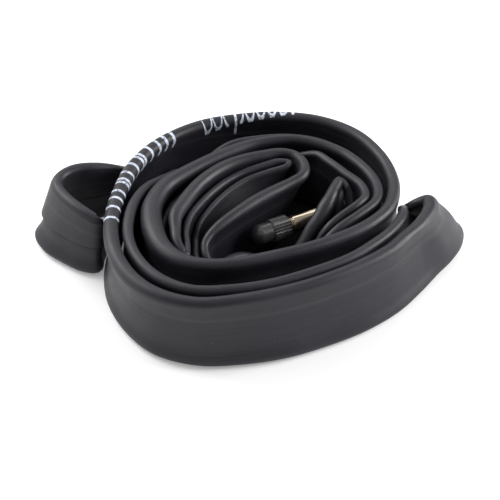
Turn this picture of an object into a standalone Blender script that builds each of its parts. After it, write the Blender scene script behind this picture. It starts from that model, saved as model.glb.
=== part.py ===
"""Bicycle inner tube for a 700 mm wheel, pressed flat, folded double and rolled up.

Metres, +Z up. The roll stands on the plane z = 0, and its box is centred on the Z axis.
The tube is one endless flat ring with a thick rounded bead along each fold edge. Its valve is
a schrader valve: a smooth stem on a moulded rubber base, a screwed-in core, and a domed cap.
"""
import math

import bmesh
import bpy
import numpy as np
from mathutils import Matrix, Vector

MM = 0.001

# The tube
LAY_FLAT_WIDTH = 33.0        # mm, folded edge to folded edge
WEB_HALF = 1.3               # mm, half the thickness between the two beads
FOOT_BEAD_LIMIT = 2.7        # mm, largest radius of the bead at the foot
FOOT_FLAT_BELOW = 0.9        # mm, section points lower than this are pressed flat on the ground
STATION_LENGTH = 10.0        # mm of run for each section
STATION_TURN = 24.0          # degrees of turn for each section
PLAN_CENTRE = (-0.67, 9.72)    # mm, the middle of the roll in the route's own plan

# The valve, in mm along its axis from the wall of the tube
VALVE_WALL_POINT = (42.0, 26.8, 14.9)
CAP_TIP_POINT = (1.3, 2.0, 17.5)
BASE_RADIUS = 7.2
BASE_FOOT = 0.65
BASE_NECK = 4.85
BASE_TOP = 7.5
STEM_RADIUS = 3.85
STEM_FOOT = 0.7
STEM_TOP = 38.4
THREAD_START = 28.0
THREAD_PITCH = 0.794
THREAD_DEPTH = 0.42
RUNNING_GAP = 0.3
CAP_RIM = 30.8
CAP_SHOULDER = 38.9
CAP_TIP = 47.8
CAP_SKIRT_RADIUS = 4.85
CAP_DOME_RADIUS = 4.45
CAP_RIB_HEIGHT = 0.3
CAP_COLUMNS = 48
PIN_RADIUS = 0.55
PIN_TIP = 38.0
PIN_FOOT = 17.6
SPRING_TURNS = 5
SPRING_WIRE = 0.17

# The route, one row for each section: the top bead's centre (x, y, z), the foot bead's centre
# (x, y, z) and the beads' radius, in mm. The sections in between lie on a smooth curve.
# Fold at the right end, leaning out at its foot.
RIGHT_END_FOLD = [
    (72.2, 13.7, 26.8, 86, 22.3, 7.5, 2.5),
    (75.2, 11.8, 29.2, 90.2, 20, 7.3, 2.8),
    (75.4, 5.8, 29.6, 89.5, 12.3, 6.6, 3.0),
    (73.2, -0.5, 29.8, 84.8, 4, 5.6, 3.0),
    (69.3, -7.5, 30, 77.8, -4.3, 4.5, 3.0),
]
# Outermost wrap along the front.
OUTER_WRAP_FRONT = [
    (63.5, -14.8, 30, 69.3, -15.4, 3.5, 3.0),
    (56, -24, 30, 60, -26.3, 3, 3.0),
    (43, -34.5, 30, 45.8, -38.1, 3, 3.0),
    (27, -44, 30, 28.8, -47.6, 3, 3.0),
    (12, -50.5, 30, 12.8, -54.2, 3, 3.0),
    (-4, -55, 30, -4, -57.7, 3, 3.0),
    (-20, -57, 30, -20.3, -58.2, 3, 3.0),
    (-35, -52, 30, -36.2, -52.6, 3, 3.1),
    (-46, -42, 30, -46.6, -42.2, 3, 3.2),
    (-54, -26, 30, -55.4, -26.2, 3.2, 3.2),
    (-57, -10, 30, -59, -10, 3.3, 3.2),
]
# Outermost wrap round the left and the back; it bridges the run that passes under it.
OUTER_WRAP_BACK = [
    (-57, 4, 30, -58.8, 4, 5, 3.2),
    (-55, 19, 30, -56, 19.3, 10.5, 3.2),
    (-51.5, 33, 30.3, -52.5, 34, 14.5, 3.2),
    (-45.3, 46, 30.5, -46.8, 48, 14.5, 3.0),
    (-36.3, 57.3, 30.5, -37.8, 59.8, 14.5, 2.9),
    (-22, 68.2, 30.3, -23, 70.5, 8, 2.8),
    (-4, 74.4, 30, -4.5, 76, 3.5, 2.7),
    (14, 76, 30, 14.5, 78, 3, 2.7),
    (32, 72.3, 30, 33.5, 74, 3, 2.7),
    (47.4, 61.5, 30, 49.3, 62.7, 3, 2.7),
    (57.7, 43.3, 30, 59.5, 43.7, 3, 2.7),
    (61.5, 25, 30, 63.3, 25, 3, 2.7),
]
# Second wrap, right round once.
SECOND_WRAP = [
    (60.5, 13, 30, 62.3, 12.5, 3, 2.8),
    (57.5, 4, 30, 60, 2.5, 3, 2.9),
    (52, -3.5, 30, 54.5, -6, 3, 2.9),
    (43, -11.5, 30, 45, -15, 3, 2.9),
    (27, -20.8, 30, 28.5, -24.7, 3, 2.9),
    (12, -26.6, 29.8, 13, -30.8, 3, 2.9),
    (-4, -31.6, 29.8, -4, -36.3, 3, 2.9),
    (-17, -33, 29.8, -18.3, -38, 3, 3.0),
    (-27.2, -29.6, 29.4, -31.5, -34.5, 3, 3.4),
    (-34.6, -21.8, 28.8, -40.6, -24.6, 3, 4.0),
    (-39.1, -11, 28.2, -45.4, -11.8, 3, 4.5),
    (-41.2, 1, 28, -46.5, 2, 3, 4.6),
    (-40.9, 10, 28.2, -45, 12.2, 3, 4.4),
    (-36.4, 22.3, 28.5, -39.5, 25, 3, 4.1),
    (-24, 35.3, 29.2, -26, 38.8, 3, 3.5),
    (-9.3, 46.8, 30, -10.5, 49.8, 3, 3.0),
    (4, 54.5, 30, 4, 57, 3, 2.6),
    (22, 57, 30, 22.5, 59, 3, 2.5),
    (40, 47.5, 30, 41, 48.5, 3, 2.4),
    (51, 32, 30, 50, 32, 3, 2.3),
    (54.5, 19.5, 30, 51.5, 19.5, 3, 2.2),
    (53, 10, 30, 49.5, 11, 3, 2.2),
    (46.5, 1.8, 30, 45.8, 3.3, 3, 2.1),
    (36.5, -6.5, 28, 36.5, -6, 3, 2.0),
]
# Low run behind the front of the second wrap.
INNER_FRONT_RUN = [
    (25, -14, 21, 25, -13.3, 3, 2.0),
    (12, -20, 20, 12, -18.5, 3, 2.0),
    (-2, -24.3, 20, -2, -22.6, 3, 2.0),
    (-12, -25.6, 20, -12, -24, 3, 2.0),
    (-19.6, -22.8, 20, -19, -22, 3, 1.8),
    (-22.2, -14, 19.5, -22, -14, 3, 1.5),
    (-22.6, -7, 18.5, -22.3, -7, 3, 1.4),
]
# Narrow hairpin inside the tongue.
INNER_HAIRPIN = [
    (-22.8, -1.5, 18.5, -21.3, -3, 3, 1.5),
    (-21.6, 4.5, 21.5, -17.6, -1.3, 3, 1.5),
    (-17.2, 12.9, 23.6, -13.6, 2.2, 3, 1.5),
    (-9.8, 23.6, 25, -7.3, 9.6, 3, 1.5),
    (-1.7, 31.2, 26, 0.3, 17.4, 3, 1.5),
    (7.8, 35.8, 27, 5.7, 25.3, 3, 1.5),
    (16.3, 38.6, 28.2, 6.6, 33, 3, 1.6),
    (17, 41.2, 28.5, 5.8, 37.4, 3, 1.6),
    (12.5, 42, 28.5, 3.2, 39, 3, 1.7),
    (6.3, 39.9, 28, 0.2, 36.9, 3, 1.7),
    (-3.9, 34.9, 27, -5.2, 32.1, 3, 1.7),
    (-12.3, 27.2, 26.5, -12.6, 24.6, 3, 1.7),
    (-20.4, 15, 26.2, -19.5, 13.2, 3, 1.7),
    (-25.1, 4.8, 26, -24.6, 4.4, 3, 1.6),
    (-26.6, -4, 25, -26.3, -4, 3, 1.4),
    (-25.8, -13, 24, -25.6, -13, 3, 1.4),
    (-26.3, -19.6, 24.5, -26.3, -19.4, 3, 1.8),
]
# Tongue: the big inner fold.
TONGUE = [
    (-29.8, -14, 26.8, -30, -14, 3, 2.1),
    (-30.9, -6, 27.6, -31.1, -6, 3, 2.4),
    (-31, 1.5, 28.8, -31, 1.5, 3, 3.0),
    (-28.4, 9, 29.2, -28.1, 9.5, 3, 3.1),
    (-21.6, 23.4, 29.5, -20.4, 24.6, 3, 3.1),
    (-12.6, 34.4, 29.7, -11.6, 35.2, 3, 3.1),
    (-4.4, 40.3, 29.8, -5, 40.5, 3, 2.9),
    (5, 44.3, 29.9, 1, 44.5, 3, 2.6),
    (13.3, 46.7, 30, 5.5, 45.5, 3, 2.3),
    (19, 45.5, 30, 8.8, 43.5, 3, 2.1),
    (22.6, 41, 30, 12, 40.2, 3, 2.1),
    (23.9, 35, 29.8, 12.6, 35.5, 3, 2.3),
    (22.6, 29.5, 29.4, 12.3, 30.5, 3, 2.4),
    (18, 25.6, 28.6, 11.5, 26, 3, 2.6),
    (12.9, 21.8, 28.2, 10.5, 20.8, 3, 2.8),
    (3.4, 13.7, 28, 3.5, 13, 3, 3.0),
    (-4.5, 5.9, 27.5, -4.6, 5.1, 3, 2.8),
    (-12.6, -2.3, 26.3, -11.8, -3.6, 3, 2.4),
    (-17, -7.5, 24.8, -16.2, -8.2, 3, 1.9),
    (-18.7, -12, 23.3, -18.1, -12, 3, 1.6),
    (-17.2, -17.4, 21, -16.8, -16.9, 3, 1.6),
]
# Low run in front of the valve cap.
RUN_UNDER_CAP = [
    (-12.5, -17.4, 17.5, -12.3, -16.5, 3, 1.9),
    (-8, -12, 16.5, -8, -11.5, 3, 2.1),
    (-3, -7.5, 14.5, -3, -7, 3, 2.1),
    (3, -5, 11.5, 3, -4.5, 3, 2.0),
    (9, -4.5, 9.5, 9, -4, 3, 2.0),
    (15, -3.2, 10, 14.7, -2.8, 3, 2.0),
]
# Fold that stands over the valve stem.
VALVE_FLAP = [
    (21.5, -0.7, 15.2, 21, -0.3, 3, 2.5),
    (26.2, 3.7, 20.5, 25.4, 5.4, 3.5, 3.0),
    (29.5, 7.3, 24, 28.8, 8.2, 4, 3.2),
    (32.2, 11.5, 26.6, 31.6, 11.8, 7.5, 3.3),
    (34.4, 16, 28.2, 34.9, 13.7, 13.5, 3.0),
    (36.3, 21.2, 29.2, 37.8, 18.4, 23, 2.5),
    (38.8, 25.6, 29.6, 39.6, 23.8, 25.5, 2.1),
    (42.2, 22.9, 27.8, 42.6, 20.6, 21.5, 1.8),
    (42.8, 18.5, 22.5, 43.2, 16, 12.5, 1.8),
    (41, 12.3, 15.5, 41, 12, 4, 1.8),
    (36.1, 7.5, 12.8, 36.1, 7.5, 3, 1.8),
    (29.9, 2.4, 13, 29.9, 2.6, 3, 1.8),
]
# Inner layer at the right, where the valve is bonded.
INNER_RIGHT_WRAP = [
    (27.6, -2.5, 18, 27.6, -2.5, 3, 1.8),
    (31.5, -2, 24, 32.1, -1.3, 3, 1.8),
    (37.9, 2.7, 27.5, 38.2, 3.7, 3, 1.8),
    (45.2, 7.8, 30, 44, 9, 3, 1.9),
    (48.7, 13.5, 30, 45.5, 14, 3, 1.9),
    (47.6, 21.7, 30, 46.2, 21.7, 3, 1.9),
    (41, 31, 30, 41, 31, 3, 1.9),
    (34.3, 40, 30, 34.3, 40, 3, 1.9),
    (29.2, 47, 29, 29.5, 47, 3, 1.8),
    (20, 52.4, 24, 20, 52.6, 3, 1.8),
]
# Low inner layer of the second wrap, once round.
HIDDEN_RUN = [
    (8, 51.5, 20, 8, 52.8, 3, 1.7),
    (-5.3, 45.7, 19, -5.6, 46.6, 3, 1.7),
    (-17.6, 35.5, 21, -19, 37.5, 3, 1.7),
    (-28.6, 25, 22.5, -30.5, 26.5, 3, 1.7),
    (-34.5, 14, 22.5, -36.8, 14.5, 3, 1.7),
    (-37.4, 2, 20, -39.6, 2.5, 3, 1.7),
    (-36.4, -10, 17, -37.8, -10, 3, 1.7),
    (-33, -19.6, 17, -34, -20.8, 3, 1.7),
    (-28.6, -25.3, 17.5, -29.6, -27, 3, 1.7),
    (-22.5, -28.5, 18, -23.5, -30.6, 3, 1.7),
    (-9, -30.3, 19, -9, -32.1, 3, 1.7),
    (4, -27.3, 19, 4.5, -28.6, 3, 1.7),
    (18, -22.3, 19, 19, -23.2, 3, 1.7),
    (33, -14.3, 19, 34.2, -15.7, 3, 1.7),
    (45, -5, 19, 46.3, -6.6, 3, 1.7),
    (53, 4, 19, 54, 3.5, 3, 1.7),
    (56.8, 14, 19, 57.5, 14, 3, 1.7),
    (57, 26, 19, 57.5, 26, 3, 1.7),
    (53.5, 39, 20, 54.5, 39.5, 3, 1.8),
    (46, 52, 22, 47.5, 53.5, 3, 1.9),
    (35, 60.5, 25, 37, 63.5, 3, 2.0),
    (20, 64.5, 26, 21, 69, 3, 2.0),
    (4, 63.5, 26, 4.5, 68.5, 3, 2.0),
    (-10, 59.5, 25, -12, 65, 3, 2.0),
    (-21, 54.5, 19, -22.5, 61.5, 4, 2.0),
]
# Passes under the outermost wrap at the back left.
OUT_UNDER_WRAP = [
    (-31, 53, 10, -30, 62, 4.5, 2.1),
    (-40.5, 57, 6.5, -37.5, 66, 5, 2.2),
    (-48.8, 55.3, 12, -48, 63, 4.5, 2.2),
    (-54.8, 47.5, 20, -56, 52.5, 4, 2.3),
]
# Loose loop at the left, and back in under the outermost wrap.
LEFT_LOOP = [
    (-60, 40.8, 25.5, -61.8, 43.3, 3.5, 2.4),
    (-67, 37.2, 28.5, -69.2, 38, 3, 2.5),
    (-75.5, 34, 29.8, -79.5, 36, 3, 2.6),
    (-81, 29, 30, -88.3, 31.3, 3, 2.6),
    (-82.8, 22.5, 30, -92.3, 24, 3, 2.6),
    (-79, 14, 30, -88, 13.9, 3, 2.6),
    (-72.8, 6.5, 29.6, -79, 5.7, 3, 2.6),
    (-66.8, 1.6, 28.6, -70.8, 0.2, 3, 2.5),
    (-63.6, 0, 27.5, -65.4, -0.7, 3, 2.3),
    (-62.8, 3.5, 23.5, -64.6, 5, 3, 2.1),
    (-62.3, 13, 15, -62.6, 14, 3.5, 2.1),
    (-60, 25, 8.5, -58.5, 19.5, 4.2, 2.1),
    (-53.8, 34, 6.5, -52, 27, 4.8, 2.1),
    (-47.3, 41, 9, -45, 34.7, 5, 2.1),
    (-41.3, 46.3, 14, -39.7, 42, 5, 2.1),
    (-36, 48, 18, -35.5, 44.6, 4.5, 2.0),
    (-32.9, 44, 21, -33.8, 41.6, 4, 2.1),
    (-35.4, 37.8, 23.5, -37.7, 36, 3.5, 2.1),
    (-40, 30.5, 26, -43.2, 29.2, 3.2, 2.1),
    (-44.6, 22, 28.3, -48.8, 20.3, 3, 2.2),
]
# Inside layer of the outermost wrap, left to right end.
OUTER_WRAP_INSIDE = [
    (-47.8, 13.5, 29.3, -51.4, 11.7, 3, 2.2),
    (-49.8, 3, 30, -52.8, 2, 3, 2.3),
    (-49.8, -13, 30, -52.6, -13, 3, 2.3),
    (-45, -28.5, 30, -47.5, -29, 3, 2.3),
    (-35.5, -41.5, 30, -38, -43.3, 3, 2.4),
    (-23, -48.5, 30, -24.5, -50.8, 3, 2.4),
    (-8, -48.5, 30, -8.5, -51.3, 3, 2.4),
    (8, -45, 30, 8.3, -47.8, 3, 2.4),
    (24, -38, 30, 25, -40.6, 3, 2.4),
    (40, -28.8, 30, 41.5, -31.6, 3, 2.4),
    (49, -20.8, 30, 52.3, -23, 3, 2.4),
    (57.2, -11.7, 30, 61.3, -13.3, 3.2, 2.4),
    (61.8, -4, 29.8, 68, -4.8, 3.8, 2.4),
    (64, 3, 28.8, 73, 3.2, 4.8, 2.4),
    (64.6, 9.3, 26.8, 77.5, 11, 5.6, 2.2),
    (66.4, 13.4, 23.6, 81.5, 18.5, 6.5, 2.3),
]
ROUTE = (
    RIGHT_END_FOLD
    + OUTER_WRAP_FRONT
    + OUTER_WRAP_BACK
    + SECOND_WRAP
    + INNER_FRONT_RUN
    + INNER_HAIRPIN
    + TONGUE
    + RUN_UNDER_CAP
    + VALVE_FLAP
    + INNER_RIGHT_WRAP
    + HIDDEN_RUN
    + OUT_UNDER_WRAP
    + LEFT_LOOP
    + OUTER_WRAP_INSIDE
)


def clear_scene():
    for old in list(bpy.data.objects):
        bpy.data.objects.remove(old, do_unlink=True)


def new_collection(name):
    made = bpy.data.collections.new(name)
    bpy.context.scene.collection.children.link(made)
    return made


def material(name, colour, roughness, metallic=0.0):
    made = bpy.data.materials.new(name)
    made.use_nodes = True
    shader = made.node_tree.nodes["Principled BSDF"]
    shader.inputs["Base Color"].default_value = (*colour, 1.0)
    shader.inputs["Roughness"].default_value = roughness
    shader.inputs["Metallic"].default_value = metallic
    return made


def add_object(name, mesh, finish, parent=None):
    made = bpy.data.objects.new(name, mesh)
    made.data.materials.append(finish)
    parts.objects.link(made)
    made.parent = parent
    return made


# ---------------------------------------------------------------- the tube

def smooth_route(rows, step=1.0):
    """Closed centripetal Catmull-Rom curve through the rows, a point about every step mm."""
    rows = np.array(rows, dtype=float)
    middle = (rows[:, 0:3] + rows[:, 3:6]) / 2
    count = len(rows)
    points = []
    for i in range(count):
        near = [(i + j) % count for j in (-1, 0, 1, 2)]
        p0, p1, p2, p3 = rows[near]
        knots = [0.0]
        for a, b in zip(near, near[1:]):
            knots.append(knots[-1] + np.linalg.norm(middle[b] - middle[a]) ** 0.5)
        t0, t1, t2, t3 = knots
        pieces = max(2, math.ceil(np.linalg.norm(middle[near[2]] - middle[near[1]]) / step))
        for k in range(pieces):
            t = t1 + (t2 - t1) * k / pieces
            a1 = ((t1 - t) * p0 + (t - t0) * p1) / (t1 - t0)
            a2 = ((t2 - t) * p1 + (t - t1) * p2) / (t2 - t1)
            a3 = ((t3 - t) * p2 + (t - t2) * p3) / (t3 - t2)
            b1 = ((t2 - t) * a1 + (t - t0) * a2) / (t2 - t0)
            b2 = ((t3 - t) * a2 + (t - t1) * a3) / (t3 - t1)
            points.append(((t2 - t) * b1 + (t - t1) * b2) / (t2 - t1))
    return np.array(points)


def stations(rows):
    """The route's sections, close together where it turns and further apart where it doesn't."""
    dense = smooth_route(rows)
    middle = (dense[:, 0:3] + dense[:, 3:6]) / 2
    ahead = np.roll(middle, -1, axis=0) - middle
    length = np.linalg.norm(ahead, axis=1)
    heading = ahead / length[:, None]
    cosine = np.clip((heading * np.roll(heading, -1, axis=0)).sum(axis=1), -1, 1)
    turn = np.degrees(np.arccos(cosine))
    cost = length / STATION_LENGTH + turn / STATION_TURN
    along = np.concatenate([[0.0], np.cumsum(cost)])
    wanted = np.linspace(0, along[-1], round(along[-1]), endpoint=False)
    closed = np.vstack([dense, dense[:1]])
    return np.stack([np.interp(wanted, along, closed[:, k]) for k in range(7)], axis=1)


def section_outline(height, radius):
    """Dog-bone outline: (distance up from the foot bead's centre, distance sideways)."""
    small = min(radius, FOOT_BEAD_LIMIT)
    wide = math.radians(100)
    narrow = math.radians(35)
    top = [(height + radius * math.cos(a), radius * math.sin(a)) for a in (-wide, -narrow, narrow, wide)]
    foot = [(-small * math.cos(a), small * math.sin(a)) for a in (wide, narrow, -narrow, -wide)]
    return top + [(height / 2, WEB_HALF)] + foot + [(height / 2, -WEB_HALF)]


def make_tube(finish):
    rows = stations(ROUTE)
    top = rows[:, 0:3]
    foot = rows[:, 3:6]
    middle = (top + foot) / 2
    heading = np.roll(middle, -1, axis=0) - np.roll(middle, 1, axis=0)
    up = top - foot
    height = np.linalg.norm(up, axis=1)
    up = up / height[:, None]
    side = np.cross(heading, up)
    side = side / np.linalg.norm(side, axis=1)[:, None]

    shape = bmesh.new()
    rings = []
    for k in range(len(rows)):
        ring = []
        for lift, aside in section_outline(height[k], rows[k, 6]):
            point = foot[k] + up[k] * lift + side[k] * aside
            if point[2] < FOOT_FLAT_BELOW:
                point[2] = 0.0
            x = (point[0] - PLAN_CENTRE[0]) * MM
            y = (point[1] - PLAN_CENTRE[1]) * MM
            ring.append(shape.verts.new((x, y, point[2] * MM)))
        rings.append(ring)
    for ring, following in zip(rings, rings[1:] + rings[:1]):
        for j in range(len(ring)):
            after = (j + 1) % len(ring)
            shape.faces.new((ring[j], ring[after], following[after], following[j]))
    bmesh.ops.recalc_face_normals(shape, faces=shape.faces)
    mesh = bpy.data.meshes.new("inner_tube")
    shape.to_mesh(mesh)
    shape.free()
    mesh.shade_smooth()
    return add_object("inner_tube", mesh, finish)


# ---------------------------------------------------------------- the valve

def make_valve_axis():
    """Empty at the tube's wall whose +Z runs out along the valve."""
    wall = Vector(VALVE_WALL_POINT)
    tip = Vector(CAP_TIP_POINT)
    axis = bpy.data.objects.new("valve_axis", None)
    parts.objects.link(axis)
    centre = Vector((PLAN_CENTRE[0], PLAN_CENTRE[1], 0.0))
    turn = (tip - wall).to_track_quat("Z", "Y").to_matrix().to_4x4()
    axis.matrix_world = Matrix.Translation((wall - centre) * MM) @ turn
    return axis


def turned(name, outline, finish, axis, closed=True, steps=32):
    """Piece turned on the valve's axis. The outline's (radius, height) points, in mm, run down
    the outer side and back up the inner one."""
    mesh = bpy.data.meshes.new(name)
    points = [(radius * MM, 0.0, height * MM) for radius, height in outline]
    edges = [(k, k + 1) for k in range(len(points) - 1)]
    if closed:
        edges.append((len(points) - 1, 0))
    mesh.from_pydata(points, edges, [])
    made = add_object(name, mesh, finish, axis)
    screw = made.modifiers.new("turn", "SCREW")
    screw.axis = "Z"
    screw.steps = steps
    screw.render_steps = steps
    screw.use_merge_vertices = True
    screw.merge_threshold = 0.000001
    screw.use_smooth_shade = True
    return made


def ring(name, outer, inner, low, high, finish, axis, steps=24):
    outline = [(outer, high), (outer, low), (inner, low), (inner, high)]
    return turned(name, outline, finish, axis, steps=steps)


def make_valve_base(finish, axis):
    hole = STEM_RADIUS + RUNNING_GAP
    outline = [
        (BASE_NECK, BASE_TOP),
        (BASE_NECK + 0.35, BASE_TOP - 4.2),
        (BASE_NECK + 1.0, 2.4),
        (BASE_RADIUS - 0.5, BASE_FOOT + 0.95),
        (BASE_RADIUS, BASE_FOOT + 0.45),
        (BASE_RADIUS, BASE_FOOT),
        (hole, BASE_FOOT),
        (hole, BASE_TOP - 0.3),
    ]
    return turned("valve_base", outline, finish, axis, steps=36)


def make_stem(finish, axis):
    outline = [(STEM_RADIUS - 0.45, STEM_TOP)]
    crest = STEM_TOP - 0.5
    while crest > THREAD_START + THREAD_PITCH:
        outline.append((STEM_RADIUS, crest))
        outline.append((STEM_RADIUS - THREAD_DEPTH, crest - THREAD_PITCH / 2))
        crest -= THREAD_PITCH
    outline += [(STEM_RADIUS, crest), (STEM_RADIUS, STEM_FOOT)]
    bore = [(1.5, STEM_FOOT), (1.5, 18.0), (2.15, 18.0), (2.15, 28.2), (2.75, 29.4), (2.75, STEM_TOP)]
    return turned("valve_stem", outline + bore, finish, axis)


def make_core(brass, rubber, steel, axis):
    barrel = [(2.4, 37.2), (2.4, 32.4), (1.45, 32.4), (1.45, 25.6), (0.85, 25.6), (0.85, 37.2)]
    turned("core_barrel", barrel, brass, axis, steps=24)
    gasket = [(2.4, 32.1), (2.0, 29.2), (1.75, 29.2), (1.75, 32.1)]
    turned("core_gasket", gasket, rubber, axis, steps=24)
    pin = [(0, PIN_TIP), (PIN_RADIUS, PIN_TIP - 0.25), (PIN_RADIUS, PIN_FOOT), (0, PIN_FOOT)]
    turned("core_pin", pin, brass, axis, closed=False, steps=16)
    ring("core_seal", 1.7, PIN_RADIUS + RUNNING_GAP, 24.3, 25.3, rubber, axis)
    ring("core_cup", 1.8, PIN_RADIUS + RUNNING_GAP, 23.2, 24.0, brass, axis)
    ring("core_spring_seat", 2.0, PIN_RADIUS + RUNNING_GAP, 18.3, 19.0, brass, axis)
    make_spring(steel, axis)


def make_spring(finish, axis):
    low = 19.0 + SPRING_WIRE + RUNNING_GAP
    high = 23.2 - SPRING_WIRE - RUNNING_GAP
    curve = bpy.data.curves.new("core_spring", "CURVE")
    curve.dimensions = "3D"
    curve.bevel_depth = SPRING_WIRE * MM
    curve.bevel_resolution = 1
    curve.use_fill_caps = True
    line = curve.splines.new("POLY")
    per_turn = 14
    count = SPRING_TURNS * per_turn
    line.points.add(count)
    for k in range(count + 1):
        angle = 2 * math.pi * k / per_turn
        radius = 1.2 * MM
        height = (low + (high - low) * k / count) * MM
        line.points[k].co = (radius * math.cos(angle), radius * math.sin(angle), height, 1.0)
    return add_object("core_spring", curve, finish, axis)


def make_cap(finish, axis):
    """Domed screw cap, hollow, with a ribbed skirt."""
    bore = STEM_RADIUS + RUNNING_GAP
    skirt = CAP_SKIRT_RADIUS
    dome = CAP_DOME_RADIUS
    outline = [(0.0, CAP_TIP)]
    for step in range(1, 8):
        angle = math.radians(90 * step / 7)
        outline.append((dome * math.sin(angle), CAP_TIP - 3.4 + 3.4 * math.cos(angle)))
    outline += [
        (dome, CAP_SHOULDER + 0.7),
        (skirt, CAP_SHOULDER),
        (skirt, CAP_RIM + 0.35),
        (skirt - 0.3, CAP_RIM),
        (bore, CAP_RIM),
        (bore, 39.3),
        (3.0, 39.3),
        (3.0, 42.6),
        (1.8, 44.2),
        (0.0, 44.6),
    ]
    cap = turned("valve_cap", outline, finish, axis, closed=False, steps=CAP_COLUMNS)
    add_ribs(cap)
    return cap


def add_ribs(cap):
    """Raises every second column of the skirt's outer wall."""
    bpy.context.view_layer.update()
    evaluated = cap.evaluated_get(bpy.context.evaluated_depsgraph_get())
    mesh = bpy.data.meshes.new_from_object(evaluated)
    cap.modifiers.clear()
    cap.data = mesh
    for vertex in mesh.vertices:
        radius = math.hypot(vertex.co.x, vertex.co.y)
        height = vertex.co.z / MM
        on_skirt = radius > (CAP_SKIRT_RADIUS - 0.05) * MM and CAP_RIM < height < CAP_SHOULDER + 0.1
        column = round(math.atan2(vertex.co.y, vertex.co.x) / (2 * math.pi) * CAP_COLUMNS)
        if on_skirt and column % 2 == 0:
            stretch = (radius + CAP_RIB_HEIGHT * MM) / radius
            vertex.co.x *= stretch
            vertex.co.y *= stretch
    mesh.set_sharp_from_angle(angle=math.radians(25))


clear_scene()
parts = new_collection("bicycle_inner_tube")
black_rubber = material("black_rubber", (0.045, 0.045, 0.05), 0.6)
valve_rubber = material("valve_rubber", (0.035, 0.035, 0.038), 0.55)
nickel = material("nickel_plate", (0.72, 0.70, 0.66), 0.25, 1.0)
brass_metal = material("brass", (0.62, 0.46, 0.22), 0.35, 1.0)
spring_steel = material("spring_steel", (0.5, 0.5, 0.5), 0.3, 1.0)
cap_plastic = material("cap_plastic", (0.02, 0.02, 0.022), 0.35)

make_tube(black_rubber)
valve_axis = make_valve_axis()
make_valve_base(valve_rubber, valve_axis)
make_stem(nickel, valve_axis)
make_core(brass_metal, valve_rubber, spring_steel, valve_axis)
make_cap(cap_plastic, valve_axis)
ring("cap_gasket", 3.85, 1.6, STEM_TOP + 0.15, 39.0, valve_rubber, valve_axis)
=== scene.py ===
"""Looks for the rolled-up bicycle inner tube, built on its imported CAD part. Metres, +Z up."""
import math

import bmesh
import bpy
import numpy as np
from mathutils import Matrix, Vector


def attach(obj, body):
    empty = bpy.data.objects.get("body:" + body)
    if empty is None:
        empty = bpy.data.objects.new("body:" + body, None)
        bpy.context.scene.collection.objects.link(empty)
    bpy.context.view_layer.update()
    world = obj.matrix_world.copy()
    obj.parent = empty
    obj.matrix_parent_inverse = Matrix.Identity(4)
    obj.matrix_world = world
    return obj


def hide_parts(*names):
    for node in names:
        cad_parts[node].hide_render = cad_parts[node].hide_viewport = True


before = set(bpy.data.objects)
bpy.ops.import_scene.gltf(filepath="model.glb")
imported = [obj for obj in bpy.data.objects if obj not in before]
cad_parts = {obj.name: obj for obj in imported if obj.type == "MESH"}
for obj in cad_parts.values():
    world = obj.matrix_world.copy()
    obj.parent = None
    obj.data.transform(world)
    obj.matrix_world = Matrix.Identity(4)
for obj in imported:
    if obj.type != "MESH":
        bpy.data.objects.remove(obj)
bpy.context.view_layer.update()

MM = 0.001

# The tube's shape, in mm. Its plan is moved so that this place becomes the frame's origin.
PLAN_CENTRE = (-0.67, 9.72)
WEB_HALF = 1.15
FOOT_BEAD_LIMIT = 2.7
LOWEST = 0.02
STATION_STEP = 1.3
BEAD_POINTS = 9
WALL_POINTS = 25
# The left loop's upper half is a thicker cuff, which ends in a crease this far above the foot bead.
CREASE_LIFT = 12.0
CREASE_SHARPNESS = 0.15
CREASE_DEPTH = 0.55
CREASE_WIDTH = 0.7
CUFF_HALF = 2.7
# How far the wall bows out at the right end.
BELLY = 2.2
# Start, end and easing of the cuff and of the bow, as shares of the way round the route.
CUFF_SPAN = (0.820, 0.8548, 0.003)
BELLY_SPAN = (-0.001, 0.0095, 0.007)

# White print on the folded edge, in metres along the tube from the route's first row.
BAR_PLACES = (
    0.2115, 0.219, 0.2255, 0.2307, 0.2372, 0.2397, 0.245,
    0.2515, 0.2571, 0.2595, 0.2657, 0.2717, 0.2766, 0.2813,
)
BAR_HALF = 0.00078
SCALLOP_START = 0.2985
SCALLOP_STEP = 0.0053
SCALLOP_COUNT = 8.5
SCALLOP_LEFT_OUT = 3.0
SCALLOP_LIFT = 0.0046
SCALLOP_CLIMB = 0.105
LONE_STROKE = 0.3152
# The print fades out between these distances from the fold's crest.
PRINT_REACH = (0.0052, 0.0058)
# Way round the whole section in metres, at the upper bead's scale, and where on it the painted highlight
# line runs, at the bead's join with the wall.
BEAD_ARC = 0.0318
PAINTED_HIGHLIGHT_LIFT = 0.0056

# Colours.
CLEAN_RUBBER = (0.0122, 0.0116, 0.0172)
DUSTY_RUBBER = (0.0192, 0.0184, 0.0262)
PALE_STREAK = (0.034, 0.033, 0.040)
DARK_STREAK = (0.0075, 0.0074, 0.009)
SPECK_GREY = (0.25, 0.25, 0.26)
PAINTED_HIGHLIGHT_GREY = (0.07, 0.07, 0.075)
PRINT_WHITE = (0.60, 0.65, 0.76)
PAPER_WHITE = (0.93, 0.93, 0.93)
PAINTED_SHADE_UNDER_COIL = (0.02, 0.02, 0.022)

# The room. The floor is painted dark with shade in an ellipse round the coil: middle and half axes.
COIL_CENTRE = (0.0027, 0.0003)
COIL_HALF = (0.0605, 0.0665)
FLOOR_HALF = 3.0
PAPER_GLOW = 0.22
ROOM_GLOW = 0.38
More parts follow.
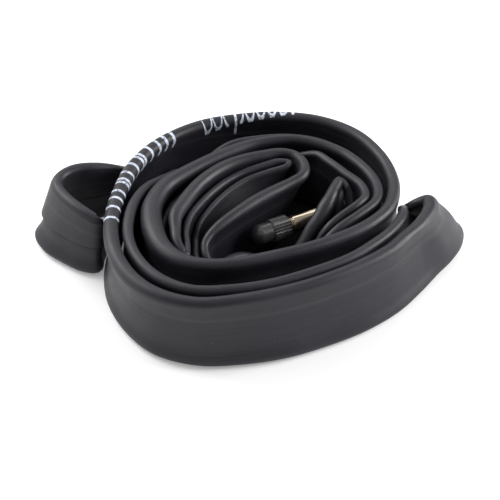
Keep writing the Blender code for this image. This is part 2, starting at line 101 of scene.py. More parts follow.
# Name, place, width and depth, power in watts. All are aimed at the origin.
LIGHTS = (
    ("back_light", (0.0, 0.75, 0.62), (0.9, 0.45), 2.2),
    ("left_back_light", (-0.6, 0.45, 0.6), (0.5, 0.5), 6.5),
    ("left_light", (-0.8, 0.1, 0.42), (0.5, 0.5), 1.5),
    ("right_light", (0.8, 0.1, 0.36), (0.5, 0.5), 9.0),
    ("top_light", (0.0, -0.1, 1.1), (0.8, 0.8), 0.8),
)
CAMERA_TARGET = (0.00067, -0.00972, 0.012)
CAMERA_DISTANCE = 0.5763
CAMERA_ELEVATION = 38
CAMERA_LENS = 97.92
CAMERA_SENSOR = 36

# The route: top bead centre (x, y, z), foot bead centre (x, y, z), bead radius, in mm.
# Fold at the right end, leaning out at its foot.
RIGHT_END_FOLD = [
    (72.2, 13.7, 26.8, 86, 22.3, 7.5, 2.5),
    (75.2, 11.8, 29.2, 90.2, 20, 7.3, 2.8),
    (75.4, 5.8, 29.6, 89.5, 12.3, 6.6, 3.0),
    (73.2, -0.5, 29.8, 84.8, 4, 5.6, 3.0),
    (69.3, -7.5, 30, 77.8, -4.3, 4.5, 3.0),
]
# Outermost wrap along the front.
OUTER_WRAP_FRONT = [
    (63.5, -14.8, 30, 69.3, -15.4, 3.5, 3.0),
    (56, -24, 30, 60, -26.3, 3, 3.0),
    (43, -34.5, 30, 45.8, -38.1, 3, 3.0),
    (27, -44, 30, 28.8, -47.6, 3, 3.0),
    (12, -50.5, 30, 12.8, -54.2, 3, 3.0),
    (-4, -55, 30, -4, -57.7, 3, 3.0),
    (-20, -57, 30, -20.3, -58.2, 3, 3.0),
    (-35, -52, 30, -36.2, -52.6, 3, 3.1),
    (-46, -42, 30, -46.6, -42.2, 3, 3.2),
    (-54, -26, 30, -55.4, -26.2, 3.2, 3.2),
    (-57, -10, 30, -59, -10, 3.3, 3.2),
]
# Outermost wrap round the left and the back; it bridges the run that passes under it.
OUTER_WRAP_BACK = [
    (-57, 4, 30, -58.8, 4, 5, 3.2),
    (-55, 19, 30, -56, 19.3, 10.5, 3.2),
    (-51.5, 33, 30.3, -52.5, 34, 14.5, 3.2),
    (-45.3, 46, 30.5, -46.8, 48, 14.5, 3.0),
    (-36.3, 57.3, 30.5, -37.8, 59.8, 14.5, 2.9),
    (-22, 68.2, 30.3, -23, 70.5, 8, 2.8),
    (-4, 74.4, 30, -4.5, 76, 3.5, 2.7),
    (14, 76, 30, 14.5, 78, 3, 2.7),
    (32, 72.3, 30, 33.5, 74, 3, 2.7),
    (47.4, 61.5, 30, 49.3, 62.7, 3, 2.7),
    (57.7, 43.3, 30, 59.5, 43.7, 3, 2.7),
    (61.5, 25, 30, 63.3, 25, 3, 2.7),
]
# Second wrap, right round once.
SECOND_WRAP = [
    (60.5, 13, 30, 62.3, 12.5, 3, 2.8),
    (57.5, 4, 30, 60, 2.5, 3, 2.9),
    (52, -3.5, 30, 54.5, -6, 3, 2.9),
    (43, -11.5, 30, 45, -15, 3, 2.9),
    (27, -20.8, 30, 28.5, -24.7, 3, 2.9),
    (12, -26.6, 29.8, 13, -30.8, 3, 2.9),
    (-4, -31.6, 29.8, -4, -36.3, 3, 2.9),
    (-17, -33, 29.8, -18.3, -38, 3, 3.0),
    (-27.2, -29.6, 29.4, -31.5, -34.5, 3, 3.4),
    (-34.6, -21.8, 28.8, -40.6, -24.6, 3, 4.0),
    (-39.1, -11, 28.2, -45.4, -11.8, 3, 4.5),
    (-41.2, 1, 28, -46.5, 2, 3, 4.6),
    (-40.9, 10, 28.2, -45, 12.2, 3, 4.4),
    (-36.4, 22.3, 28.5, -39.5, 25, 3, 4.1),
    (-24, 35.3, 29.2, -26, 38.8, 3, 3.5),
    (-9.3, 46.8, 30, -10.5, 49.8, 3, 3.0),
    (4, 54.5, 30, 4, 57, 3, 2.6),
    (22, 57, 30, 22.5, 59, 3, 2.5),
    (40, 47.5, 30, 41, 48.5, 3, 2.4),
    (51, 32, 30, 50, 32, 3, 2.3),
    (54.5, 19.5, 30, 51.5, 19.5, 3, 2.2),
    (53, 10, 30, 49.5, 11, 3, 2.2),
    (46.5, 1.8, 30, 45.8, 3.3, 3, 2.1),
    (36.5, -6.5, 28, 36.5, -6, 3, 2.0),
]
# Low run behind the front of the second wrap.
INNER_FRONT_RUN = [
    (25, -14, 21, 25, -13.3, 3, 2.0),
    (12, -20, 20, 12, -18.5, 3, 2.0),
    (-2, -24.3, 20, -2, -22.6, 3, 2.0),
    (-12, -25.6, 20, -12, -24, 3, 2.0),
    (-19.6, -22.8, 20, -19, -22, 3, 1.8),
    (-22.2, -14, 19.5, -22, -14, 3, 1.5),
    (-22.6, -7, 18.5, -22.3, -7, 3, 1.4),
]
# Narrow hairpin inside the tongue.
INNER_HAIRPIN = [
    (-22.8, -1.5, 18.5, -21.3, -3, 3, 1.5),
    (-21.6, 4.5, 21.5, -17.6, -1.3, 3, 1.5),
    (-17.2, 12.9, 23.6, -13.6, 2.2, 3, 1.5),
    (-9.8, 23.6, 25, -7.3, 9.6, 3, 1.5),
    (-1.7, 31.2, 26, 0.3, 17.4, 3, 1.5),
    (7.8, 35.8, 27, 5.7, 25.3, 3, 1.5),
    (16.3, 38.6, 28.2, 6.6, 33, 3, 1.6),
    (17, 41.2, 28.5, 5.8, 37.4, 3, 1.6),
    (12.5, 42, 28.5, 3.2, 39, 3, 1.7),
    (6.3, 39.9, 28, 0.2, 36.9, 3, 1.7),
    (-3.9, 34.9, 27, -5.2, 32.1, 3, 1.7),
    (-12.3, 27.2, 26.5, -12.6, 24.6, 3, 1.7),
    (-20.4, 15, 26.2, -19.5, 13.2, 3, 1.7),
    (-25.1, 4.8, 26, -24.6, 4.4, 3, 1.6),
    (-26.6, -4, 25, -26.3, -4, 3, 1.4),
    (-25.8, -13, 24, -25.6, -13, 3, 1.4),
    (-26.3, -19.6, 24.5, -26.3, -19.4, 3, 1.8),
]
# Tongue: the big inner fold.
TONGUE = [
    (-29.8, -14, 26.8, -30, -14, 3, 2.1),
    (-30.9, -6, 27.6, -31.1, -6, 3, 2.4),
    (-31, 1.5, 28.8, -31, 1.5, 3, 3.0),
    (-28.4, 9, 29.2, -28.1, 9.5, 3, 3.1),
    (-21.6, 23.4, 29.5, -20.4, 24.6, 3, 3.1),
    (-12.6, 34.4, 29.7, -11.6, 35.2, 3, 3.1),
    (-4.4, 40.3, 29.8, -5, 40.5, 3, 2.9),
    (5, 44.3, 29.9, 1, 44.5, 3, 2.6),
    (13.3, 46.7, 30, 5.5, 45.5, 3, 2.3),
    (19, 45.5, 30, 8.8, 43.5, 3, 2.1),
    (22.6, 41, 30, 12, 40.2, 3, 2.1),
    (23.9, 35, 29.8, 12.6, 35.5, 3, 2.3),
    (22.6, 29.5, 29.4, 12.3, 30.5, 3, 2.4),
    (18, 25.6, 28.6, 11.5, 26, 3, 2.6),
    (12.9, 21.8, 28.2, 10.5, 20.8, 3, 2.8),
    (3.4, 13.7, 28, 3.5, 13, 3, 3.0),
    (-4.5, 5.9, 27.5, -4.6, 5.1, 3, 2.8),
    (-12.6, -2.3, 26.3, -11.8, -3.6, 3, 2.4),
    (-17, -7.5, 24.8, -16.2, -8.2, 3, 1.9),
    (-18.7, -12, 23.3, -18.1, -12, 3, 1.6),
    (-17.2, -17.4, 21, -16.8, -16.9, 3, 1.6),
]
# Low run in front of the valve cap.
RUN_UNDER_CAP = [
    (-12.5, -17.4, 17.5, -12.3, -16.5, 3, 1.9),
    (-8, -12, 16.5, -8, -11.5, 3, 2.1),
    (-3, -7.5, 14.5, -3, -7, 3, 2.1),
    (3, -5, 11.5, 3, -4.5, 3, 2.0),
    (9, -4.5, 9.5, 9, -4, 3, 2.0),
    (15, -3.2, 10, 14.7, -2.8, 3, 2.0),
]
# Fold that stands over the valve stem.
VALVE_FLAP = [
    (21.5, -0.7, 15.2, 21, -0.3, 3, 2.5),
    (26.2, 3.7, 20.5, 25.4, 5.4, 3.5, 3.0),
    (29.5, 7.3, 24, 28.8, 8.2, 4, 3.2),
    (32.2, 11.5, 26.6, 31.6, 11.8, 7.5, 3.3),
    (34.4, 16, 28.2, 34.9, 13.7, 13.5, 3.0),
    (36.3, 21.2, 29.2, 37.8, 18.4, 23, 2.5),
    (38.8, 25.6, 29.6, 39.6, 23.8, 25.5, 2.1),
    (42.2, 22.9, 27.8, 42.6, 20.6, 21.5, 1.8),
    (42.8, 18.5, 22.5, 43.2, 16, 12.5, 1.8),
    (41, 12.3, 15.5, 41, 12, 4, 1.8),
    (36.1, 7.5, 12.8, 36.1, 7.5, 3, 1.8),
    (29.9, 2.4, 13, 29.9, 2.6, 3, 1.8),
]
# Inner layer at the right, where the valve is bonded.
INNER_RIGHT_WRAP = [
    (27.6, -2.5, 18, 27.6, -2.5, 3, 1.8),
    (31.5, -2, 24, 32.1, -1.3, 3, 1.8),
    (37.9, 2.7, 27.5, 38.2, 3.7, 3, 1.8),
    (45.2, 7.8, 30, 44, 9, 3, 1.9),
    (48.7, 13.5, 30, 45.5, 14, 3, 1.9),
    (47.6, 21.7, 30, 46.2, 21.7, 3, 1.9),
    (41, 31, 30, 41, 31, 3, 1.9),
    (34.3, 40, 30, 34.3, 40, 3, 1.9),
    (29.2, 47, 29, 29.5, 47, 3, 1.8),
    (20, 52.4, 24, 20, 52.6, 3, 1.8),
]
# Low inner layer of the second wrap, once round.
HIDDEN_RUN = [
    (8, 51.5, 20, 8, 52.8, 3, 1.7),
    (-5.3, 45.7, 19, -5.6, 46.6, 3, 1.7),
    (-17.6, 35.5, 21, -19, 37.5, 3, 1.7),
    (-28.6, 25, 22.5, -30.5, 26.5, 3, 1.7),
    (-34.5, 14, 22.5, -36.8, 14.5, 3, 1.7),
    (-37.4, 2, 20, -39.6, 2.5, 3, 1.7),
    (-36.4, -10, 17, -37.8, -10, 3, 1.7),
    (-33, -19.6, 17, -34, -20.8, 3, 1.7),
    (-28.6, -25.3, 17.5, -29.6, -27, 3, 1.7),
    (-22.5, -28.5, 18, -23.5, -30.6, 3, 1.7),
    (-9, -30.3, 19, -9, -32.1, 3, 1.7),
    (4, -27.3, 19, 4.5, -28.6, 3, 1.7),
    (18, -22.3, 19, 19, -23.2, 3, 1.7),
    (33, -14.3, 19, 34.2, -15.7, 3, 1.7),
    (45, -5, 19, 46.3, -6.6, 3, 1.7),
    (53, 4, 19, 54, 3.5, 3, 1.7),
    (56.8, 14, 19, 57.5, 14, 3, 1.7),
    (57, 26, 19, 57.5, 26, 3, 1.7),
    (53.5, 39, 20, 54.5, 39.5, 3, 1.8),
    (46, 52, 22, 47.5, 53.5, 3, 1.9),
    (35, 60.5, 25, 37, 63.5, 3, 2.0),
    (20, 64.5, 26, 21, 69, 3, 2.0),
    (4, 63.5, 26, 4.5, 68.5, 3, 2.0),
    (-10, 59.5, 25, -12, 65, 3, 2.0),
    (-21, 54.5, 19, -22.5, 61.5, 4, 2.0),
]
# Passes under the outermost wrap at the back left.
OUT_UNDER_WRAP = [
    (-31, 53, 10, -30, 62, 4.5, 2.1),
    (-40.5, 57, 6.5, -37.5, 66, 5, 2.2),
    (-48.8, 55.3, 12, -48, 63, 4.5, 2.2),
    (-54.8, 47.5, 20, -56, 52.5, 4, 2.3),
]
# Loose loop at the left, and back in under the outermost wrap.
LEFT_LOOP = [
    (-60, 40.8, 25.5, -61.8, 43.3, 3.5, 2.4),
    (-67, 37.2, 28.5, -69.2, 38, 3, 2.5),
    (-75.5, 34, 29.8, -79.5, 36, 3, 2.6),
    (-81, 29, 30, -88.3, 31.3, 3, 2.6),
    (-82.8, 22.5, 30, -92.3, 24, 3, 2.6),
    (-79, 14, 30, -88, 13.9, 3, 2.6),
    (-72.8, 6.5, 29.6, -79, 5.7, 3, 2.6),
    (-66.8, 1.6, 28.6, -70.8, 0.2, 3, 2.5),
    (-63.6, 0, 27.5, -65.4, -0.7, 3, 2.3),
    (-62.8, 3.5, 23.5, -64.6, 5, 3, 2.1),
    (-62.3, 13, 15, -62.6, 14, 3.5, 2.1),
    (-60, 25, 8.5, -58.5, 19.5, 4.2, 2.1),
    (-53.8, 34, 6.5, -52, 27, 4.8, 2.1),
    (-47.3, 41, 9, -45, 34.7, 5, 2.1),
    (-41.3, 46.3, 14, -39.7, 42, 5, 2.1),
    (-36, 48, 18, -35.5, 44.6, 4.5, 2.0),
    (-32.9, 44, 21, -33.8, 41.6, 4, 2.1),
    (-35.4, 37.8, 23.5, -37.7, 36, 3.5, 2.1),
    (-40, 30.5, 26, -43.2, 29.2, 3.2, 2.1),
    (-44.6, 22, 28.3, -48.8, 20.3, 3, 2.2),
]
# Inside layer of the outermost wrap, left to right end.
OUTER_WRAP_INSIDE = [
    (-47.8, 13.5, 29.3, -51.4, 11.7, 3, 2.2),
    (-49.8, 3, 30, -52.8, 2, 3, 2.3),
    (-49.8, -13, 30, -52.6, -13, 3, 2.3),
    (-45, -28.5, 30, -47.5, -29, 3, 2.3),
    (-35.5, -41.5, 30, -38, -43.3, 3, 2.4),
    (-23, -48.5, 30, -24.5, -50.8, 3, 2.4),
    (-8, -48.5, 30, -8.5, -51.3, 3, 2.4),
    (8, -45, 30, 8.3, -47.8, 3, 2.4),
    (24, -38, 30, 25, -40.6, 3, 2.4),
    (40, -28.8, 30, 41.5, -31.6, 3, 2.4),
    (49, -20.8, 30, 52.3, -23, 3, 2.4),
    (57.2, -11.7, 30, 61.3, -13.3, 3.2, 2.4),
    (61.8, -4, 29.8, 68, -4.8, 3.8, 2.4),
    (64, 3, 28.8, 73, 3.2, 4.8, 2.4),
    (64.6, 9.3, 26.8, 77.5, 11, 5.6, 2.2),
    (66.4, 13.4, 23.6, 81.5, 18.5, 6.5, 2.3),
]
ROUTE = (
    RIGHT_END_FOLD
    + OUTER_WRAP_FRONT
    + OUTER_WRAP_BACK
    + SECOND_WRAP
    + INNER_FRONT_RUN
    + INNER_HAIRPIN
    + TONGUE
    + RUN_UNDER_CAP
    + VALVE_FLAP
    + INNER_RIGHT_WRAP
    + HIDDEN_RUN
    + OUT_UNDER_WRAP
    + LEFT_LOOP
    + OUTER_WRAP_INSIDE
)

# ---------------------------------------------------------------- shader helpers

class Nodes:
    """Short names for building one material's node tree."""

    def __init__(self, name):
        self.material = bpy.data.materials.new(name)
        self.material.use_nodes = True
        self.tree = self.material.node_tree
        self.shader = self.tree.nodes["Principled BSDF"]

    def add(self, kind, **settings):
        node = self.tree.nodes.new(kind)
        for key, value in settings.items():
            setattr(node, key, value)
        return node

    def join(self, source, target):
        """Link a socket to the target, or set a plain value on it."""
        if isinstance(source, bpy.types.NodeSocket):
            self.tree.links.new(source, target)
        else:
            target.default_value = source

    def math(self, operation, a, b=0.0):
        node = self.add("ShaderNodeMath", operation=operation)
        for socket, value in zip(node.inputs, (a, b)):
            self.join(value, socket)
        return node.outputs[0]

    def apart(self, a, b):
        """Distance between two values."""
        return self.math("ABSOLUTE", self.math("SUBTRACT", a, b))

    def ramp(self, value, low, high, out_low=0.0, out_high=1.0):
        """Smooth step from low to high."""
        node = self.add("ShaderNodeMapRange", interpolation_type="SMOOTHSTEP")
        for socket, setting in zip(node.inputs, (value, low, high, out_low, out_high)):
            self.join(setting, socket)
        return node.outputs[0]

    def noise(self, vector, scale, detail=3.0, roughness=0.5):
        node = self.add("ShaderNodeTexNoise")
        self.join(vector, node.inputs["Vector"])
        node.inputs["Scale"].default_value = scale
        node.inputs["Detail"].default_value = detail
        node.inputs["Roughness"].default_value = roughness
        return node.outputs["Fac"]

    def vector(self, x, y, z):
        node = self.add("ShaderNodeCombineXYZ")
        for socket, value in zip(node.inputs, (x, y, z)):
            self.join(value, socket)
        return node.outputs[0]

    def stretched(self, along, across, along_scale, across_scale):
        """Place on the tube's surface with its own scale each way, for noise that runs lengthwise."""
        return self.vector(
            self.math("MULTIPLY", along, along_scale), self.math("MULTIPLY", across, across_scale), 0.0
        )

    def mix(self, amount, first, second):
        node = self.add("ShaderNodeMix", data_type="RGBA")
        self.join(amount, node.inputs[0])
        for socket, value in zip((node.inputs[6], node.inputs[7]), (first, second)):
            self.join(value if isinstance(value, bpy.types.NodeSocket) else (*value, 1.0), socket)
        return node.outputs[2]

    def bump(self, height, distance, strength=1.0, below=None):
        node = self.add("ShaderNodeBump")
        node.inputs["Strength"].default_value = strength
        node.inputs["Distance"].default_value = distance
        self.join(height, node.inputs["Height"])
        if below is not None:
            self.join(below, node.inputs["Normal"])
        return node.outputs[0]

    def place(self):
        return self.add("ShaderNodeTexCoord").outputs["Object"]


def print_marks(n, along, lift):
    """White print on the folded edge: cracked cross bars, then worn scallops and one stroke."""
    on_edge = n.ramp(n.math("ABSOLUTE", lift), *PRINT_REACH, 1.0, 0.0)
    bars = None
    for bar_place in BAR_PLACES:
        bar = n.math("SUBTRACT", BAR_HALF, n.apart(along, bar_place))
        bars = bar if bars is None else n.math("MAXIMUM", bars, bar)
    bars = n.math("MULTIPLY", n.ramp(bars, -0.0001, 0.00015), on_edge)

    # Scallops: bowls whose lowest points climb towards the back of the fold.
    phase = n.math("DIVIDE", n.math("SUBTRACT", along, SCALLOP_START), SCALLOP_STEP)
    local = n.math("SUBTRACT", n.math("FRACT", phase), 0.5)
    aside = n.math("ABSOLUTE", local)
    climb = n.math("MULTIPLY", n.math("MULTIPLY", phase, SCALLOP_STEP), SCALLOP_CLIMB)
    lowest = n.math("SUBTRACT", SCALLOP_LIFT, climb)
    bowl = n.math("SUBTRACT", lowest, n.math("MULTIPLY", n.math("POWER", aside, 3.0), 0.05))
    half_line = n.math("ADD", 0.0005, n.math("MULTIPLY", aside, 0.0022))
    line = n.ramp(n.math("SUBTRACT", half_line, n.apart(lift, bowl)), -0.00012, 0.00016)
    first_to_last = n.math(
        "MULTIPLY",
        n.ramp(phase, 0.02, 0.06),
        n.ramp(phase, SCALLOP_COUNT - 0.05, SCALLOP_COUNT + 0.05, 1.0, 0.0),
    )
    worn_gap = n.ramp(n.apart(phase, SCALLOP_LEFT_OUT), 0.45, 0.55)
    scallops = n.math("MULTIPLY", line, n.math("MULTIPLY", first_to_last, worn_gap))

    stroke = n.math("MULTIPLY", n.ramp(n.apart(along, LONE_STROKE), 0.0005, 0.0007, 1.0, 0.0), on_edge)
    return n.math("MAXIMUM", bars, n.math("MAXIMUM", scallops, stroke))


def tube_rubber():
    """Matt black rubber with talc, specks, lengthwise streaks, a painted highlight line where the bead
    meets the wall, and worn print.
    """
    n = Nodes("tube_rubber")
    place = n.place()
    uv = n.add("ShaderNodeUVMap", uv_map="strip")
    split = n.add("ShaderNodeSeparateXYZ")
    n.join(uv.outputs[0], split.inputs[0])
    along = split.outputs[0]
    across = split.outputs[1]
    # Signed way round the upper bead in metres, 0 on its crest.
    signed = n.math("SUBTRACT", across, n.math("ROUND", across))
    lift = n.math("MULTIPLY", signed, BEAD_ARC)

    cloud = n.noise(place, 40.0, 4.0, 0.6)
    colour = n.mix(n.ramp(cloud, 0.42, 0.75), CLEAN_RUBBER, DUSTY_RUBBER)
    speck = n.ramp(n.noise(place, 1400.0, 2.0, 0.6), 0.71, 0.76)
    sparse = n.ramp(n.noise(place, 60.0, 2.0, 0.5), 0.5, 0.7)
    speck = n.math("MULTIPLY", speck, sparse)
    colour = n.mix(n.math("MULTIPLY", speck, 0.5), colour, SPECK_GREY)
    streak = n.noise(n.stretched(along, across, 14.0, 130.0), 1.0, 4.0, 0.6)
    colour = n.mix(n.ramp(streak, 0.5, 0.78, 0.0, 0.6), colour, PALE_STREAK)
    colour = n.mix(n.ramp(streak, 0.42, 0.25, 0.0, 0.6), colour, DARK_STREAK)
    # Painted highlight: a thin lighter line where the upper bead meets the wall, standing in for that edge
    # catching light.
    painted_highlight_line = n.ramp(n.apart(n.math("ABSOLUTE", lift), PAINTED_HIGHLIGHT_LIFT), 0.0001, 0.00035, 1.0, 0.0)
    colour = n.mix(n.math("MULTIPLY", painted_highlight_line, 0.15), colour, PAINTED_HIGHLIGHT_GREY)
    crack = n.ramp(n.noise(place, 700.0, 3.0, 0.7), 0.36, 0.5, 0.25, 1.0)
    marks = n.math("MULTIPLY", print_marks(n, along, lift), crack)
    colour = n.mix(marks, colour, PRINT_WHITE)
    n.join(colour, n.shader.inputs["Base Color"])
    n.join(n.ramp(cloud, 0.3, 0.7, 0.44, 0.56), n.shader.inputs["Roughness"])
    n.shader.inputs["Specular IOR Level"].default_value = 0.4

    waves = n.bump(n.noise(n.stretched(along, across, 30.0, 6.0), 3.0, 3.0), 0.0006, 0.3)
    ribs = n.bump(streak, 0.00012, 0.5, waves)
    grain = n.bump(n.noise(place, 900.0, 3.0, 0.6), 0.00006, 0.5, ribs)
    n.join(grain, n.shader.inputs["Normal"])
    return n.material


def plain(name, colour, roughness, metallic=0.0, specular=0.5):
    """Material with a little uneven colour, sheen and grain."""
    n = Nodes(name)
    place = n.place()
    patch = n.noise(place, 250.0, 4.0, 0.6)
    darker = tuple(c * 0.8 for c in colour)
    n.join(n.mix(patch, darker, colour), n.shader.inputs["Base Color"])
    n.join(n.ramp(patch, 0.3, 0.7, roughness * 0.8, roughness * 1.2), n.shader.inputs["Roughness"])
    n.shader.inputs["Metallic"].default_value = metallic
    n.shader.inputs["Specular IOR Level"].default_value = specular
    grain = n.bump(n.noise(place, 2400.0, 3.0, 0.6), 0.00003, 0.5)
    n.join(grain, n.shader.inputs["Normal"])
    return n.material


# ---------------------------------------------------------------- the tube

def smooth_route(rows, step):
    """Closed centripetal Catmull-Rom curve through the rows, a point about every step mm."""
    rows = np.array(rows, dtype=float)
    middle = (rows[:, 0:3] + rows[:, 3:6]) / 2
    count = len(rows)
    points = []
    for i in range(count):
        near = [(i + j) % count for j in (-1, 0, 1, 2)]
        p0, p1, p2, p3 = rows[near]
        knots = [0.0]
        for a, b in zip(near, near[1:]):
            knots.append(knots[-1] + np.linalg.norm(middle[b] - middle[a]) ** 0.5)
        t0, t1, t2, t3 = knots
        pieces = max(2, math.ceil(np.linalg.norm(middle[near[2]] - middle[near[1]]) / step))
        for k in range(pieces):
            t = t1 + (t2 - t1) * k / pieces
            a1 = ((t1 - t) * p0 + (t - t0) * p1) / (t1 - t0)
            a2 = ((t2 - t) * p1 + (t - t1) * p2) / (t2 - t1)
            a3 = ((t3 - t) * p2 + (t - t2) * p3) / (t3 - t2)
            b1 = ((t2 - t) * a1 + (t - t0) * a2) / (t2 - t0)
            b2 = ((t3 - t) * a2 + (t - t1) * a3) / (t3 - t1)
            points.append(((t2 - t) * b1 + (t - t1) * b2) / (t2 - t1))
    return np.array(points)


def held(value):
    """The value, held between 0 and 1."""
    return min(max(value, 0.0), 1.0)


def window(value, start, end, soft):
    """1 between start and end, easing to 0 over soft outside them."""
    near = held((value - start + soft) / soft) * held((end + soft - value) / soft)
    return near * near * (3 - 2 * near)


def bead_blend(distance, radius):
    """Half the tube's thickness at this distance from a bead's centre."""
    return WEB_HALF + (radius - WEB_HALF) * math.exp(-((distance / (1.35 * radius)) ** 1.7))


def section_outline(height, radius, cuff, belly):
    """Closed outline of the flattened tube: [(lift from the foot bead, distance aside)].

    cuff (0 to 1) thickens the upper half down to a sharp crease. belly bows the wall to the minus side.
    """
    small = min(radius, FOOT_BEAD_LIMIT)
    half = []
    for angle in np.linspace(0, math.pi / 2, BEAD_POINTS):
        half.append((height + radius * math.cos(angle), radius * math.sin(angle)))
    crease = min(CREASE_LIFT, 0.5 * height)
    lifts = [crease + step for step in (0.5, 0.15, -0.05, -0.3, -1.0)]
    for share in np.linspace(0, 1, WALL_POINTS + 2)[1:-1]:
        ease = 0.5 - 0.5 * math.cos(math.pi * share)
        lifts.append(height * (1 - (0.7 * ease + 0.3 * share)))
    for lift in sorted(lifts, reverse=True):
        aside = max(bead_blend(height - lift, radius), bead_blend(lift, small))
        above = held((lift - crease) / CREASE_SHARPNESS)
        notch = math.exp(-(((lift - crease + 0.2) / CREASE_WIDTH) ** 2)) * (1 - above)
        aside += cuff * (above * max(0.0, CUFF_HALF - aside) - CREASE_DEPTH * notch)
        half.append((lift, aside))
    for angle in np.linspace(math.pi / 2, math.pi, BEAD_POINTS):
        half.append((small * math.cos(angle), small * math.sin(angle)))
    other = [(lift, -aside) for lift, aside in reversed(half[1:-1])]
    outline = half + other
    if belly:
        bow = [belly * math.sin(math.pi * held(lift / height)) ** 0.8 for lift, _ in outline]
        outline = [(lift, aside - off) for (lift, aside), off in zip(outline, bow)]
    return outline


def make_tube():
    """The flattened tube as one closed mesh, with (metres along, share of the way round) as UV."""
    rows = smooth_route(ROUTE, STATION_STEP)
    top = rows[:, 0:3]
    foot = rows[:, 3:6]
    middle = (top + foot) / 2
    heading = np.roll(middle, -1, axis=0) - np.roll(middle, 1, axis=0)
    up = top - foot
    height = np.linalg.norm(up, axis=1)
    up = up / height[:, None]
    side = np.cross(heading, up)
    side = side / np.linalg.norm(side, axis=1)[:, None]
    steps = np.linalg.norm(np.roll(middle, -1, axis=0) - middle, axis=1)
    along = np.concatenate([[0.0], np.cumsum(steps)]) * MM

    vertices = []
    total = along[-1]
    for k in range(len(rows)):
        share = along[k] / total
        cuff = window(share, *CUFF_SPAN)
        # The bow's span crosses the route's first row, so it is looked up on both sides of it.
        belly = BELLY * (window(share, *BELLY_SPAN) + window(share - 1, *BELLY_SPAN))
        for lift, aside in section_outline(height[k], rows[k, 6], cuff, belly):
            x, y, z = foot[k] + up[k] * lift + side[k] * aside
            z = max(z, LOWEST)
            vertices.append(((x - PLAN_CENTRE[0]) * MM, (y - PLAN_CENTRE[1]) * MM, z * MM))
    ring = len(vertices) // len(rows)
    faces = []
    places = []
    for k in range(len(rows)):
        here = k * ring
        ahead = (k + 1) % len(rows) * ring
        for j in range(ring):
            after = (j + 1) % ring
            faces.append((here + j, here + after, ahead + after, ahead + j))
            for u, v in ((k, j), (k, j + 1), (k + 1, j + 1), (k + 1, j)):
                places.append((along[u], v / ring))

    mesh = bpy.data.meshes.new("tube")
    mesh.from_pydata(vertices, [], faces)
    layer = mesh.uv_layers.new(name="strip")
    layer.data.foreach_set("uv", np.array(places, np.float32).ravel())
    shape = bmesh.new()
    shape.from_mesh(mesh)
    bmesh.ops.recalc_face_normals(shape, faces=shape.faces)
    shape.to_mesh(mesh)
    shape.free()
    mesh.shade_smooth()
    mesh.materials.append(tube_rubber())
    return add_object("tube", mesh)


def add_object(name, data):
    made = bpy.data.objects.new(name, data)
    bpy.context.scene.collection.objects.link(made)
    return made


def finish_node(name, made):
    """Give one of the frame's CAD nodes its material."""
    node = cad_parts[name]
    node.data.materials.clear()
    node.data.materials.append(made)


# ---------------------------------------------------------------- the room

def aim(made, place, target):
    """Put a lamp or camera at a place, looking at the target."""
    made.location = place
    made.rotation_euler = (Vector(target) - Vector(place)).to_track_quat("-Z", "Y").to_euler()


def area_light(name, place, size, power):
    lamp = bpy.data.lights.new(name, "AREA")
    lamp.shape = "RECTANGLE"
    lamp.size, lamp.size_y = size
    lamp.energy = power
    aim(add_object(name, lamp), place, (0, 0, 0))


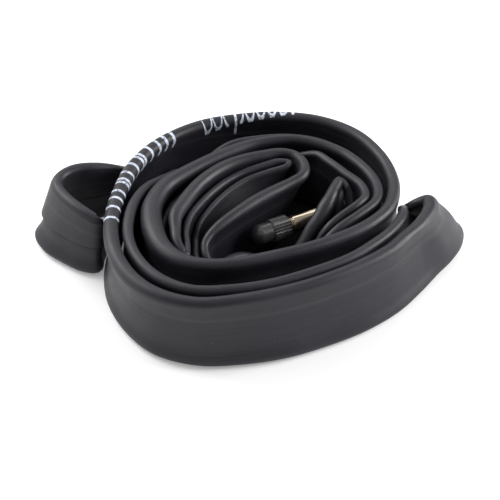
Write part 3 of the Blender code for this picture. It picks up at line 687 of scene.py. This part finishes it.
def make_floor():
    """White paper, with painted shade inside the coil where the wraps would shut out the light."""
    mesh = bpy.data.meshes.new("floor")
    corners = [(x * FLOOR_HALF, y * FLOOR_HALF, 0) for x, y in ((-1, -1), (1, -1), (1, 1), (-1, 1))]
    mesh.from_pydata(corners, [], [(0, 1, 2, 3)])
    floor = add_object("floor", mesh)
    n = Nodes("studio_floor")
    split = n.add("ShaderNodeSeparateXYZ")
    n.join(n.place(), split.inputs[0])
    wide, deep = (
        n.math("DIVIDE", n.math("SUBTRACT", split.outputs[k], COIL_CENTRE[k]), COIL_HALF[k]) for k in (0, 1)
    )
    outside = n.math("ADD", n.math("MULTIPLY", wide, wide), n.math("MULTIPLY", deep, deep))
    outside = n.ramp(outside, 0.85, 1.0)
    # Painted shade: the paper turns near black inside the coil's ellipse, and glows only outside it.
    n.join(n.mix(outside, PAINTED_SHADE_UNDER_COIL, PAPER_WHITE), n.shader.inputs["Base Color"])
    n.shader.inputs["Emission Color"].default_value = (1, 1, 1, 1)
    n.join(n.math("MULTIPLY", outside, PAPER_GLOW), n.shader.inputs["Emission Strength"])
    n.shader.inputs["Roughness"].default_value = 0.8
    n.shader.inputs["Specular IOR Level"].default_value = 0.1
    mesh.materials.append(n.material)


def make_world():
    world = bpy.data.worlds.new("studio")
    bpy.context.scene.world = world
    world.use_nodes = True
    colour, strength = world.node_tree.nodes["Background"].inputs[0:2]
    colour.default_value = (1, 1, 1, 1)
    strength.default_value = ROOM_GLOW
    bpy.context.scene.view_settings.view_transform = "Standard"


def make_camera():
    data = bpy.data.cameras.new("camera")
    data.lens = CAMERA_LENS
    data.sensor_width = CAMERA_SENSOR
    data.clip_start = 0.01
    made = add_object("camera", data)
    elevation = math.radians(CAMERA_ELEVATION)
    away = Vector((0, -math.cos(elevation), math.sin(elevation)))
    aim(made, Vector(CAMERA_TARGET) + away * CAMERA_DISTANCE, CAMERA_TARGET)
    bpy.context.scene.camera = made


tube = make_tube()
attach(tube, "tube")
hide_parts("inner_tube")

nickel = plain("stem_metal", (0.66, 0.56, 0.43), 0.2, metallic=1.0)
brass = plain("core_brass", (0.62, 0.46, 0.22), 0.33, metallic=1.0)
steel = plain("spring_steel", (0.5, 0.5, 0.5), 0.3, metallic=1.0)
plastic = plain("cap_plastic", (0.045, 0.044, 0.047), 0.25, specular=0.8)
moulded = plain("valve_rubber", (0.028, 0.028, 0.03), 0.5)
for name, made in (
    ("valve_base", moulded), ("valve_stem", nickel), ("core_barrel", brass), ("core_gasket", moulded),
    ("core_pin", brass), ("core_seal", moulded), ("core_cup", brass), ("core_spring_seat", brass),
    ("core_spring", steel), ("valve_cap", plastic), ("cap_gasket", moulded),
):
    finish_node(name, made)

make_floor()
make_world()
make_camera()
for name, place, size, power in LIGHTS:
    area_light(name, place, size, power)

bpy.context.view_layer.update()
